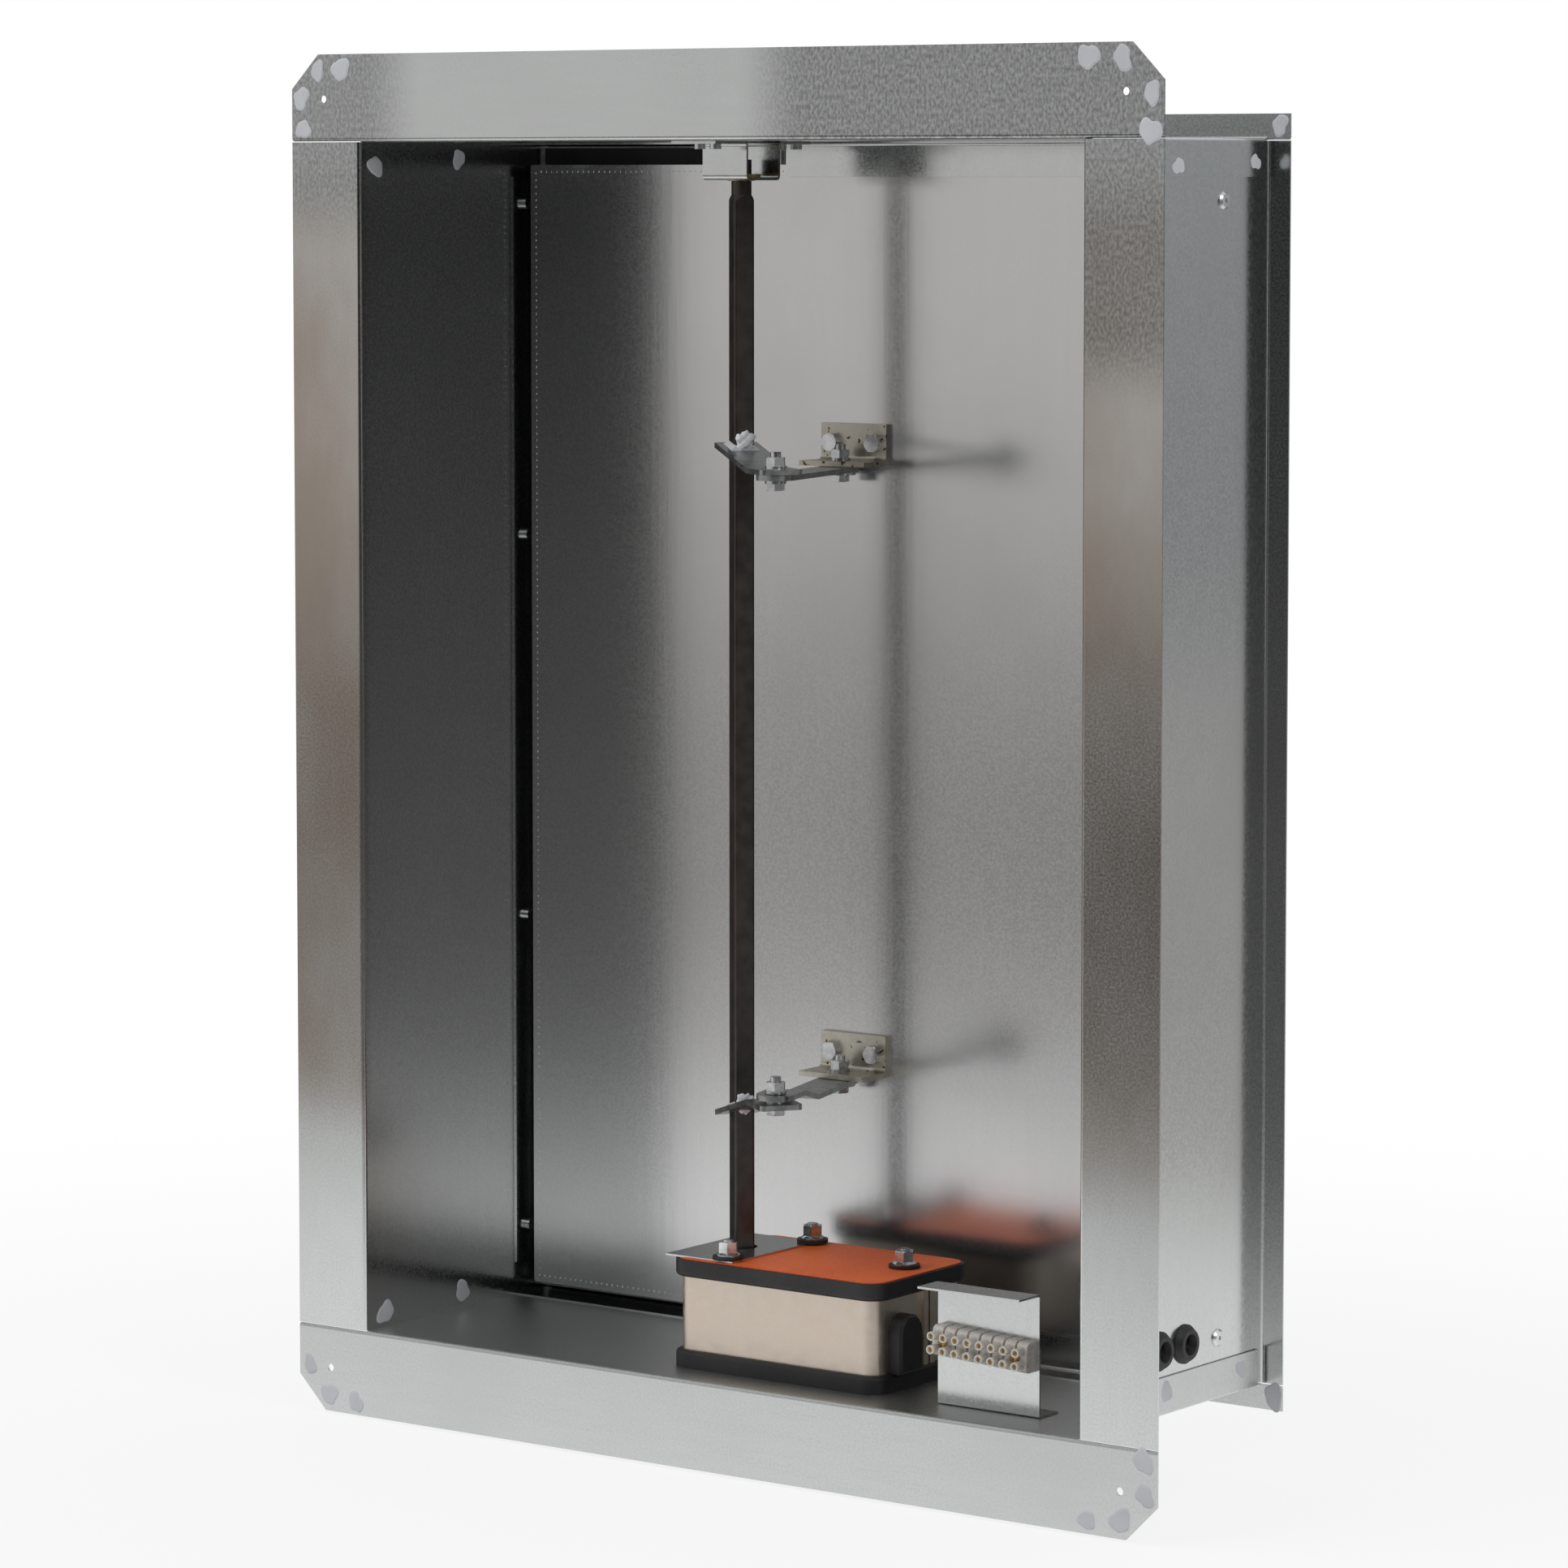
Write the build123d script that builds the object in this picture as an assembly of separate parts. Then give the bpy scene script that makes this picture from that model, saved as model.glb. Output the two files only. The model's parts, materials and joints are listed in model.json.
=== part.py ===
from build123d import *
from math import atan2, cos, degrees, hypot, radians, sin
import os

# Rectangular fire damper with a butterfly blade, a crank linkage and an electric actuator.
# Millimetres. X runs across the front, Y into the duct, Z up. The origin is the centre of
# the passage in the plane of the front flange's face.

# Casing
passage_width = 502.0
passage_height = 698.0
casing_depth = 187.0
sheet = 1.0
bend_radius = 1.5
front_flange_width = 51.0
rear_flange_width = 15.0
flange_chamfer = 20.0
flange_hole_diameter = 4.4
flange_hole_inset_x = 24.0
flange_hole_inset_z = 26.0
lap_height = 20.0
lap_end_gap = 6.0
lap_gap = 0.3

# Blade and its pivot
blade_side_gap = 8.0
blade_top_gap = 13.0
blade_bottom_gap = 8.0
blade_thickness = 20.0
blade_skin = 1.0
blade_hem_depth = 8.0
blade_setback = 28.0
pivot_offset = -62.0
axle_diameter = 12.0
axle_depth_in_blade = 45.0
bush_wall = 2.0
bush_flange_height = 2.0
bush_flange_overhang = 2.5
running_clearance = 0.05
float_gap = 0.3

# Stops that the blade closes against
stop_leg_height = 20.0
front_stop_leg = 21.0
rear_stop_leg = 31.0
stop_pivot_clearance = 1.0
seal_thickness = 1.6
seal_width = 17.0
rivet_diameter = 4.8
rivet_head_diameter = 10.0
rivet_head_height = 1.8
rivet_tail_diameter = 6.5
rivet_tail_height = 3.0
rear_rivet_setback = 19.0
front_rivet_setback = 8.0
left_rivet_heights = (-307.0, -117.0, 114.0, 313.0)
right_rivet_heights = (-316.0, 316.0)

# Drive shaft
shaft_x = -28.0
shaft_setback = 47.0
shaft_side = 12.0
shaft_corner_radius = 1.5
journal_diameter = 11.5
journal_length = 20.0
shoulder_drop = 8.3
cone_height = 4.5
bracket_width = 31.0
bracket_depth = 32.0
bracket_drop = 22.0
bracket_sheet = 1.5
bracket_foot = 30.0
foot_rivet_spacing = 11.0
foot_rivet_reach = 22.5
foot_rivet_shift = 5.0

# Linkage
crank_angle = -36.0
crank_radius = 64.0
strap_width = 25.0
strap_thickness = 3.0
weld_leg = 2.5
lever_tail = 12.0
lever_end = 12.0
lever_joggle_start = 48.0
upper_lever_rise = 9.5
lower_lever_rise = -12.0
link_width = 22.0
upper_link_height = 159.7
lower_link_height = -195.3
lower_link_joggle = 5.5
joggle_near = 18.0
joggle_far = 40.0
slide_gap = 0.3
bolt_diameter = 6.0
open_pivot_play = 3.0
angle_leg = 25.0
angle_thickness = 3.0
angle_length = 46.0
angle_root_radius = 3.0
bracket_centre_x = -2.5
drive_pin_x = -4.0
drive_pin_reach = 14.0
bracket_bolt_spacing = 30.0
bracket_bolt_height = 13.0

# Hexagon hardware
hex_across_flats = 10.0
bolt_head_height = 4.0
nut_height = 5.0
washer_diameter = 12.0
washer_thickness = 1.6
thread_overrun = 3.0

# Actuator
actuator_left = -46.5
actuator_length = 147.5
actuator_stop_gap = 7.1
actuator_width = 94.0
actuator_height = 63.0
cap_height = 10.0
cap_corner_radius = 13.0
cap_overhang = 4.0
case_wall = 1.0
label_thickness = 0.6
label_inset = 2.0
hub_diameter = 22.0
hub_clearance = 0.3
shaft_hole_diameter = 18.0
shaft_end_gap = 0.3
mount_plate_left = -50.5
mount_plate_width = 47.5
mount_plate_setback = 4.0
mount_plate_depth = 81.0
mount_plate_thickness = 1.0
stud_offsets = ((17.0, -36.0), (24.0, 36.0), (110.0, 6.0))
stud_hole_clearance = 0.2
flange_nut_diameter = 14.0
flange_nut_height = 8.0
rubber_washer_diameter = 18.0
rubber_washer_thickness = 2.0
entry_width = 22.0
entry_height = 33.0
entry_depth = 9.0
entry_front = 16.0
case_seam_offset = 44.0
case_seam_width = 12.0
case_seam_height = 2.0

# Terminal bracket and strip
terminal_left = 138.5
terminal_width = 67.5
terminal_front = 30.0
terminal_height = 69.0
terminal_sheet = 1.2
terminal_lip = 20.0
terminal_foot = 18.0
strip_poles = 8
strip_pitch = 8.0
strip_height = 17.0
strip_base = 5.0
strip_centre_height = 36.0
strip_tilt = 3.0
pole_width = 6.6
pole_depth = 4.0
barrel_diameter = 5.0
barrel_bore = 3.4
barrel_length = 7.0
barrel_spacing = 7.6
clamp_screw_depth = 3.0
clamp_screw_shank = 2.0
strip_screw_diameter = 5.4

# Cable grommets in the right wall
grommet_rivet_gap = 34.1
grommet_pitch = 26.0
grommet_height = 35.0
grommet_hole_diameter = 16.0
grommet_diameter = 22.0
grommet_lip = 4.5
grommet_bore = 9.0

half_width = passage_width / 2
half_height = passage_height / 2
floor_z = -half_height
ceiling_z = half_height
flange_half_width = half_width + front_flange_width
flange_half_height = half_height + front_flange_width
blade_centre_depth = casing_depth - blade_setback
blade_front = blade_centre_depth - blade_thickness / 2
blade_back = blade_centre_depth + blade_thickness / 2
blade_left = -half_width + blade_side_gap
blade_right = half_width - blade_side_gap
blade_bottom = floor_z + blade_bottom_gap
blade_top = ceiling_z - blade_top_gap
front_stop_face = blade_front - seal_thickness - float_gap
rear_stop_face = blade_back + seal_thickness + float_gap
front_rivet_depth = front_stop_face - front_rivet_setback
rear_rivet_depth = rear_stop_face - rear_rivet_setback
rear_grommet = front_rivet_depth - grommet_rivet_gap
grommet_depths = (rear_grommet - grommet_pitch, rear_grommet)
actuator_front = front_stop_face - front_stop_leg - actuator_stop_gap - actuator_width
shaft_y = actuator_front + shaft_setback
stud_places = [(shaft_x + across, shaft_y + along) for across, along in stud_offsets]
drive_pin_y = blade_front - drive_pin_reach
crank_x = shaft_x + crank_radius * cos(radians(crank_angle))
crank_y = shaft_y + crank_radius * sin(radians(crank_angle))
link_length = hypot(drive_pin_x - crank_x, drive_pin_y - crank_y)
link_angle = degrees(atan2(drive_pin_y - crank_y, drive_pin_x - crank_x))
cap_top_z = floor_z + actuator_height - label_thickness
label_top_z = floor_z + actuator_height
plate_top_z = label_top_z + mount_plate_thickness


def block(x, y, z):
    """A box given by its low and high limits along each axis."""
    size = Box(x[1] - x[0], y[1] - y[0], z[1] - z[0])
    return Pos((x[0] + x[1]) / 2, (y[0] + y[1]) / 2, (z[0] + z[1]) / 2) * size


def rod(x, y, z_low, z_high, diameter):
    """A round bar that stands along Z."""
    bar = Cylinder(diameter / 2, z_high - z_low)
    return Pos(x, y, (z_low + z_high) / 2) * bar


def folded_strip(plane, points, thickness, start, end):
    """Sheet folded along a line of mid-surface points and extruded from start to end."""
    radius = bend_radius + thickness / 2
    centre_line = FilletPolyline(*points, radius=radius)
    section = trace(centre_line, line_width=thickness)
    return extrude(plane.offset(start) * section, end - start)


def rounded_slab(x, y, z, radius):
    """A plate with rounded vertical corners."""
    outline = RectangleRounded(x[1] - x[0], y[1] - y[0], radius)
    centre = Pos((x[0] + x[1]) / 2, (y[0] + y[1]) / 2, z[0])
    return centre * extrude(outline, z[1] - z[0])


def hexagon(height, across=hex_across_flats):
    """A hexagon prism on the XY plane whose top corners are turned off."""
    prism = extrude(RegularPolygon(across / 2, 6, major_radius=False), height)
    blank = Pos(0, 0, height / 2) * Cylinder(across * 0.577, height)
    turned = chamfer(blank.edges().sort_by(Axis.Z)[-1], across * 0.06)
    return prism & turned


def washer(diameter, thickness, hole=bolt_diameter):
    """A flat ring on the XY plane."""
    ring = Circle(diameter / 2) - Circle(hole / 2 + stud_hole_clearance)
    return extrude(ring, thickness)


def nut(height=nut_height):
    """A hexagon nut on the XY plane, bored to the thread."""
    return hexagon(height) - Pos(0, 0, height / 2) * Cylinder(bolt_diameter / 2, height * 2)


def save(node, shape):
    """Write one sub-part's solids to its own file."""
    solids = list(shape.solids())
    shape = solids[0] if len(solids) == 1 else Compound(children=solids)
    export_step(shape, os.path.join("parts", node + ".step"))


def join(shapes):
    """Keep separate solids together in one node."""
    return Compound(children=[solid for shape in shapes for solid in shape.solids()])


# Casing panels: the side view's outline is Plane.YZ and the plan's outline is Plane.XY.

def cross_panel():
    """The top panel: web, turned-up front and rear flanges, and laps folded down the sides."""
    middle = ceiling_z + sheet / 2
    lap_x = half_width + sheet * 1.5 + lap_gap
    rear_half = half_width + rear_flange_width
    side_view = (
        (sheet / 2, flange_half_height),
        (sheet / 2, middle),
        (casing_depth - sheet / 2, middle),
        (casing_depth - sheet / 2, ceiling_z + rear_flange_width),
    )
    flanged = folded_strip(Plane.YZ, side_view, sheet, -flange_half_width, flange_half_width)
    for side in (-1, 1):
        beyond_lap = sorted((side * half_width, side * flange_half_width * 2))
        beyond_rear = sorted((side * rear_half, side * flange_half_width * 2))
        high = (ceiling_z - sheet, flange_half_height * 2)
        flanged -= block(beyond_lap, (sheet, casing_depth - sheet), high)
        flanged -= block(beyond_rear, (casing_depth - sheet * 2, casing_depth * 2), high)
    front_view = (
        (-lap_x, ceiling_z - lap_height),
        (-lap_x, middle),
        (lap_x, middle),
        (lap_x, ceiling_z - lap_height),
    )
    lapped = trace(FilletPolyline(*front_view, radius=sheet * 0.75), line_width=sheet)
    depth = casing_depth - 2 * lap_end_gap
    lapped = Pos(0, casing_depth - lap_end_gap, 0) * extrude(Plane.XZ * lapped, depth)
    between_laps = (-half_width - sheet - lap_gap, half_width + sheet + lap_gap)
    lapped -= block(between_laps, (0, casing_depth), (floor_z, ceiling_z))
    panel = flanged + lapped
    for side in (-1, 1):
        corner = Pos(side * flange_half_width, 0, flange_half_height) * Rot(0, 45, 0)
        side_length = flange_chamfer * 2 ** 0.5
        panel -= corner * Box(side_length, casing_depth / 2, side_length)
        hole_x = side * (flange_half_width - flange_hole_inset_x)
        hole = Rot(90, 0, 0) * Cylinder(flange_hole_diameter / 2, sheet * 4)
        panel -= Pos(hole_x, 0, flange_half_height - flange_hole_inset_z) * hole
    return panel


def wall_hole(side, y, z, diameter):
    """A drill through a side wall."""
    drill = Rot(0, 90, 0) * Cylinder(diameter / 2, sheet * 8)
    return Pos(side * (half_width + sheet / 2), y, z) * drill


def side_panel(side):
    """A side wall with its front and rear flanges turned outwards."""
    wall = side * (half_width + sheet / 2)
    plan = (
        (side * flange_half_width, sheet / 2),
        (wall, sheet / 2),
        (wall, casing_depth - sheet / 2),
        (side * (half_width + rear_flange_width), casing_depth - sheet / 2),
    )
    panel = folded_strip(Plane.XY, plan, sheet, floor_z, ceiling_z)
    for y, z in stop_rivet_places(side):
        panel -= wall_hole(side, y, z, rivet_diameter)
    if side > 0:
        for y in grommet_depths:
            panel -= wall_hole(side, y, floor_z + grommet_height, grommet_hole_diameter)
    return panel


# Stops. The left half of the blade closes against the rear stop and the right half against
# the front stop. Each stop is three angles riveted to the left or right half of the casing.

def stop_rivet_places(side):
    """Depth and heights of the rivets in the left (-1) or right (1) wall."""
    if side < 0:
        return [(rear_rivet_depth, z) for z in left_rivet_heights]
    return [(front_rivet_depth, z) for z in right_rivet_heights]


def stop_section(side):
    """Depths of the wall leg's free edge, of the upright leg's middle and of its face."""
    if side < 0:
        return rear_stop_face + sheet - rear_stop_leg, rear_stop_face + sheet / 2
    return front_stop_face - front_stop_leg, front_stop_face - sheet / 2


def stop_end(side):
    """Where the top and bottom angles stop short of the turning blade."""
    return pivot_offset + side * (blade_thickness / 2 + stop_pivot_clearance)


def side_stop(side):
    """The upright angle on a side wall."""
    free_edge, upright = stop_section(side)
    wall = side * (half_width - sheet / 2)
    plan = ((wall, free_edge), (wall, upright), (side * (half_width - stop_leg_height), upright))
    low = floor_z + stop_leg_height
    angle = folded_strip(Plane.XY, plan, sheet, low, -low)
    for y, z in stop_rivet_places(side):
        angle -= wall_hole(side, y, z, rivet_diameter)
    return angle


def cross_stop(side, end):
    """The angle on the ceiling (end 1) or the floor (end -1)."""
    free_edge, upright = stop_section(side)
    base = end * (half_height - sheet / 2)
    view = ((free_edge, base), (upright, base), (upright, end * (half_height - stop_leg_height)))
    limits = sorted((stop_end(side), side * half_width))
    return folded_strip(Plane.YZ, view, sheet, *limits)


def seal(side):
    """Gasket glued along the three angles of one stop."""
    inner_end = stop_end(side)
    outer = side * (half_width - stop_leg_height + seal_width)
    inner = side * (half_width - stop_leg_height)
    top = half_height - stop_leg_height
    high = top + seal_width
    face = rear_stop_face - seal_thickness if side < 0 else front_stop_face
    depth = (face, face + seal_thickness)
    band = block(sorted((inner_end, outer)), depth, (-high, high))
    window = block(sorted((inner_end - side, inner)), (face - 1, face + 3), (-top, top))
    return band - window


def stop_rivets():
    """Blind rivets through the side walls: flat heads outside, bulbed tails inside."""
    rivets = []
    for side in (-1, 1):
        for y, z in stop_rivet_places(side):
            wall = half_width + sheet
            head = revolve(Plane.XZ * make_face(rivet_head_profile()), Axis.Z)
            shank = rod(0, 0, -2 * sheet, 0, rivet_diameter)
            tail_top = -2 * sheet
            tail = rod(0, 0, tail_top - rivet_tail_height, tail_top, rivet_tail_diameter)
            rivet = Rot(0, side * 90, 0) * (head + shank + tail)
            rivets.append(Pos(side * wall, y, z) * rivet)
    return join(rivets)


def rivet_head_profile():
    """Half section of a blind rivet's head with its mandrel hole."""
    radius = rivet_head_diameter / 2
    hole = rivet_diameter / 4
    low = rivet_head_height * 0.3
    return Polyline((0, 0), (radius, 0), (radius, low), (radius * 0.75, rivet_head_height),
                    (hole, rivet_head_height), (hole, low), (0, low), close=True)


# Blade

def blade_front_skin():
    """The visible tray: a face with four edges turned back."""
    tray = block((blade_left, blade_right), (blade_front, blade_back), (blade_bottom, blade_top))
    inside = block((blade_left + blade_skin, blade_right - blade_skin),
                   (blade_front + blade_skin, blade_back + blade_skin),
                   (blade_bottom + blade_skin, blade_top - blade_skin))
    upright = tray.edges().filter_by(Axis.Y)
    tray = fillet(upright, bend_radius)
    tray -= inside
    tray -= axle_bores()
    return tray - bracket_bolt_holes()


def blade_rear_skin():
    """The back cover, a shallow tray whose hem sits inside the front skin's edges."""
    gap = 2 * blade_skin
    cover = block((blade_left + blade_skin, blade_right - blade_skin),
                  (blade_back - blade_hem_depth, blade_back),
                  (blade_bottom + blade_skin, blade_top - blade_skin))
    inside = block((blade_left + gap, blade_right - gap),
                   (blade_back - blade_hem_depth - 1, blade_back - blade_skin),
                   (blade_bottom + gap, blade_top - gap))
    return cover - inside - bracket_bolt_holes() - axle_bores()


def blade_core():
    """Mineral board that fills the blade."""
    gap = 2 * blade_skin
    board = block((blade_left + gap, blade_right - gap),
                  (blade_front + blade_skin, blade_back - blade_skin),
                  (blade_bottom + gap, blade_top - gap))
    return board - bracket_bolt_holes() - axle_bores()


def axle_limits(end):
    """Ends of the stub axle at the top (1) or the bottom (-1) of the blade."""
    edge = blade_top if end > 0 else blade_bottom
    reach = end * (half_height + sheet + bush_flange_height)
    return sorted((edge - end * axle_depth_in_blade, reach))


def axle_bores():
    """Sockets that hold the two stub axles."""
    bores = [rod(pivot_offset, blade_centre_depth, *axle_limits(end), axle_diameter)
             for end in (-1, 1)]
    return bores[0] + bores[1]


def stub_axle(end):
    """Round stub that carries the blade in the casing."""
    axle = rod(pivot_offset, blade_centre_depth, *axle_limits(end), axle_diameter)
    tip = axle.edges().sort_by(Axis.Z)[-1 if end > 0 else 0]
    return chamfer(tip, 1.0)


def axle_bush(end):
    """Flanged bush in the ceiling or the floor. The flange lies inside the casing."""
    outer = axle_diameter / 2 + running_clearance + bush_wall
    bore = axle_diameter + 2 * running_clearance
    flange = rod(0, 0, -bush_flange_height, 0, 2 * (outer + bush_flange_overhang))
    sleeve = rod(0, 0, 0, sheet + bush_flange_height, 2 * outer)
    bush = flange + sleeve - rod(0, 0, -20, 20, bore)
    turned = bush if end > 0 else Rot(180, 0, 0) * bush
    return Pos(pivot_offset, blade_centre_depth, end * half_height) * turned


def thrust_collar():
    """Spacer on the lower stub axle that carries the blade's weight on the bush."""
    low = floor_z + bush_flange_height + float_gap
    ring = rod(0, 0, low, blade_bottom, axle_diameter + 8)
    ring -= rod(0, 0, low - 1, blade_bottom + 1, axle_diameter)
    return Pos(pivot_offset, blade_centre_depth, 0) * ring


def bush_hole(end):
    """Hole for a bush in the top or bottom panel."""
    diameter = axle_diameter + 2 * (running_clearance + bush_wall)
    low, high = sorted((end * (half_height - 5), end * (half_height + 10)))
    return rod(pivot_offset, blade_centre_depth, low, high, diameter)


# Blade brackets and their bolts

def angle_bottom(upper):
    """Height of a bracket's underside, just above its link."""
    link_height = upper_link_height if upper else lower_link_height
    return link_height + strap_thickness + slide_gap


def bracket_bolt_places():
    """Centres of the four bolts that hold the brackets on the blade."""
    places = []
    for upper in (True, False):
        z = angle_bottom(upper) + bracket_bolt_height
        for side in (-1, 1):
            places.append((bracket_centre_x + side * bracket_bolt_spacing / 2, z))
    return places


def bracket_bolt_holes():
    """Holes through the blade for the bracket bolts."""
    drill = Rot(90, 0, 0) * Cylinder(bolt_diameter / 2, blade_thickness * 3)
    holes = [Pos(x, blade_centre_depth, z) * drill for x, z in bracket_bolt_places()]
    return holes[0] + holes[1] + holes[2] + holes[3]


def blade_bracket(upper):
    """Angle on the blade with a seat for the link's bolt."""
    low = angle_bottom(upper)
    outline = Polyline((blade_front, low), (blade_front, low + angle_leg - 1),
                       (blade_front - angle_thickness, low + angle_leg - 1),
                       (blade_front - angle_thickness, low + angle_thickness),
                       (blade_front - angle_leg, low + angle_thickness),
                       (blade_front - angle_leg, low), close=True)
    section = Plane.YZ.offset(bracket_centre_x - angle_length / 2) * make_face(outline)
    angle = extrude(section, angle_length)
    root = [edge for edge in angle.edges().filter_by(Axis.X)
            if abs(edge.center().Y - blade_front + angle_thickness) < 0.01
            and abs(edge.center().Z - low - angle_thickness) < 0.01]
    angle = fillet(root, angle_root_radius)
    angle -= bracket_bolt_holes()
    return angle - rod(drive_pin_x, drive_pin_y, low - 1, low + 6, bolt_diameter)


def bracket_bolts():
    """Hexagon bolts through the brackets and the blade."""
    bolts = []
    length = blade_thickness + angle_thickness + nut_height + thread_overrun
    for x, z in bracket_bolt_places():
        bolt = hexagon(bolt_head_height) + rod(0, 0, -length, 0, bolt_diameter)
        bolts.append(Pos(x, blade_front - angle_thickness, z) * Rot(90, 0, 0) * bolt)
    return join(bolts)


def bracket_nuts():
    """Nuts behind the blade."""
    return join([Pos(x, blade_back, z) * Rot(-90, 0, 0) * nut()
                 for x, z in bracket_bolt_places()])


# Levers, links and their bolts

def lever_flat_bottom(upper):
    """Underside of a lever's flat end: above the upper link, below the lower one."""
    if upper:
        return upper_link_height + strap_thickness + slide_gap
    underside = lower_link_height + link_rise(upper)
    return underside - slide_gap - washer_thickness - strap_thickness


def lever(upper):
    """Cranked strap welded on the shaft, flat at the bolt and sloped at the shaft."""
    low = lever_flat_bottom(upper)
    rise = upper_lever_rise if upper else lower_lever_rise
    middle = low + strap_thickness / 2
    tail_rise = rise * (lever_joggle_start + lever_tail) / lever_joggle_start
    points = ((-lever_tail, middle + tail_rise), (lever_joggle_start, middle),
              (crank_radius + lever_end, middle))
    centre_line = FilletPolyline(*points, radius=12)
    section = Plane.XZ * trace(centre_line, line_width=strap_thickness)
    strap = Pos(0, strap_width / 2, 0) * extrude(section, strap_width)
    corners = strap.edges().filter_by(Axis.Z).sort_by(Axis.X)[-2:]
    strap = fillet(corners, 3)
    strap = Pos(shaft_x, shaft_y, 0) * Rot(0, 0, crank_angle) * strap
    strap -= shaft_square(floor_z, ceiling_z)
    return strap - rod(crank_x, crank_y, low - 2, low + 6, bolt_diameter)


def lever_weld(upper):
    """Fillet weld round the square bar on top of a lever, following the lever's slope."""
    rise = upper_lever_rise if upper else lower_lever_rise
    slope = atan2(rise, lever_joggle_start)
    lever_top = lever_flat_bottom(upper) + strap_thickness / 2 + rise
    toe = shaft_side + 2 * weld_leg
    bead = loft([Rectangle(toe, toe), Pos(0, 0, weld_leg) * Rectangle(shaft_side, shaft_side)])
    on_strap = Rot(0, degrees(slope), 0) * Pos(0, 0, strap_thickness / 2)
    bead = Pos(shaft_x, shaft_y, lever_top) * Rot(0, 0, crank_angle) * on_strap * bead
    return bead - shaft_square(floor_z, ceiling_z)


def link_rise(upper):
    """How much higher a link's lever end lies than its bracket end."""
    return 0.0 if upper else lower_link_joggle


def link(upper):
    """Strap from a lever to a blade bracket. Its far hole is the open pivot."""
    middle = (upper_link_height if upper else lower_link_height) + strap_thickness / 2
    overrun = link_width / 2
    if link_rise(upper):
        raised = middle + link_rise(upper)
        points = ((-overrun, raised), (joggle_near, raised), (joggle_far, middle),
                  (link_length + overrun, middle))
        centre_line = FilletPolyline(*points, radius=8)
    else:
        centre_line = Polyline((-overrun, middle), (link_length + overrun, middle))
    side_view = Plane.XZ * trace(centre_line, line_width=strap_thickness)
    strap = Pos(0, overrun, 0) * extrude(side_view, link_width)
    outline = Pos(link_length / 2, 0) * SlotCenterToCenter(link_length, link_width)
    outline -= Circle(bolt_diameter / 2 + running_clearance)
    outline -= Pos(link_length, 0) * Circle(bolt_diameter / 2 + open_pivot_play)
    strap &= Pos(0, 0, floor_z) * extrude(outline, passage_height)
    return Pos(crank_x, crank_y, 0) * Rot(0, 0, link_angle) * strap


def stack(x, y, head_seat, nut_seat):
    """A bolt whose head is below and whose nut is above, as separate solids."""
    length = nut_seat - head_seat + nut_height + thread_overrun
    head = Rot(180, 0, 0) * hexagon(bolt_head_height)
    bolt = Pos(x, y, head_seat) * (head + rod(0, 0, 0, length, bolt_diameter))
    return bolt, Pos(x, y, nut_seat) * nut()


def lever_joint(upper):
    """Bolt, nut and washers where a lever carries its link."""
    low = lever_flat_bottom(upper)
    if upper:
        top = low + strap_thickness
        under = upper_link_height - slide_gap - washer_thickness
        washer_seats = (under, top)
        bolt, top_nut = stack(crank_x, crank_y, under, top + washer_thickness)
    else:
        top = lower_link_height + link_rise(upper) + strap_thickness + slide_gap
        washer_seats = (low + strap_thickness, top)
        bolt, top_nut = stack(crank_x, crank_y, low, top + washer_thickness)
    rings = [Pos(crank_x, crank_y, seat) * washer(washer_diameter, washer_thickness)
             for seat in washer_seats]
    return bolt, top_nut, rings


def bracket_joint(upper):
    """Bolt, nut and washers that tie a link to its blade bracket."""
    bottom = (upper_link_height if upper else lower_link_height) - slide_gap
    top = angle_bottom(upper) + angle_thickness
    under = bottom - washer_thickness
    bolt, top_nut = stack(drive_pin_x, drive_pin_y, under, top + washer_thickness)
    rings = [Pos(drive_pin_x, drive_pin_y, under) * washer(rubber_washer_diameter, washer_thickness),
             Pos(drive_pin_x, drive_pin_y, top) * washer(washer_diameter, washer_thickness)]
    return bolt, top_nut, rings


# Drive shaft and its top bearing

def shaft_square(z_low, z_high):
    """A length of the square bar, turned to face along the levers."""
    section = RectangleRounded(shaft_side, shaft_side, shaft_corner_radius)
    bar = extrude(section, z_high - z_low)
    return Pos(shaft_x, shaft_y, z_low) * Rot(0, 0, crank_angle) * bar


def drive_shaft():
    """Square bar with a turned journal at its top. A cone turns the square's corners off."""
    shoulder = ceiling_z - bracket_drop - shoulder_drop
    bar_end = floor_z + cap_height + shaft_end_gap
    corner_radius = shaft_side / 2 * 2 ** 0.5
    cone = Cone(corner_radius, journal_diameter / 2, cone_height)
    cone = Pos(shaft_x, shaft_y, shoulder - cone_height / 2) * cone
    top = cone & shaft_square(shoulder - cone_height, shoulder)
    bar = shaft_square(bar_end, shoulder - cone_height)
    journal = rod(shaft_x, shaft_y, shoulder, shoulder + journal_length, journal_diameter)
    return bar + top + journal


def shaft_bracket():
    """Hat-shaped bracket under the ceiling that steadies the journal."""
    half = bracket_depth / 2 - bracket_sheet / 2
    web = ceiling_z - bracket_drop + bracket_sheet / 2
    top = ceiling_z - bracket_sheet / 2
    far = half + bracket_foot
    view = ((-far, top), (-half, top), (-half, web), (half, web), (half, top), (far, top))
    line = FilletPolyline(*view, radius=bend_radius + bracket_sheet / 2)
    section = trace(line, line_width=bracket_sheet)
    start = shaft_x - bracket_width / 2
    hat = extrude(Plane.YZ.offset(start) * (Pos(shaft_y, 0) * section), bracket_width)
    bush_outer = journal_diameter + 2 * (running_clearance + bush_wall)
    hat -= rod(shaft_x, shaft_y, ceiling_z - bracket_drop - 1, ceiling_z - 10, bush_outer)
    for x, y in foot_rivet_places():
        hat -= rod(x, y, ceiling_z - 3, ceiling_z + 3, rivet_diameter)
    return hat


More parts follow.
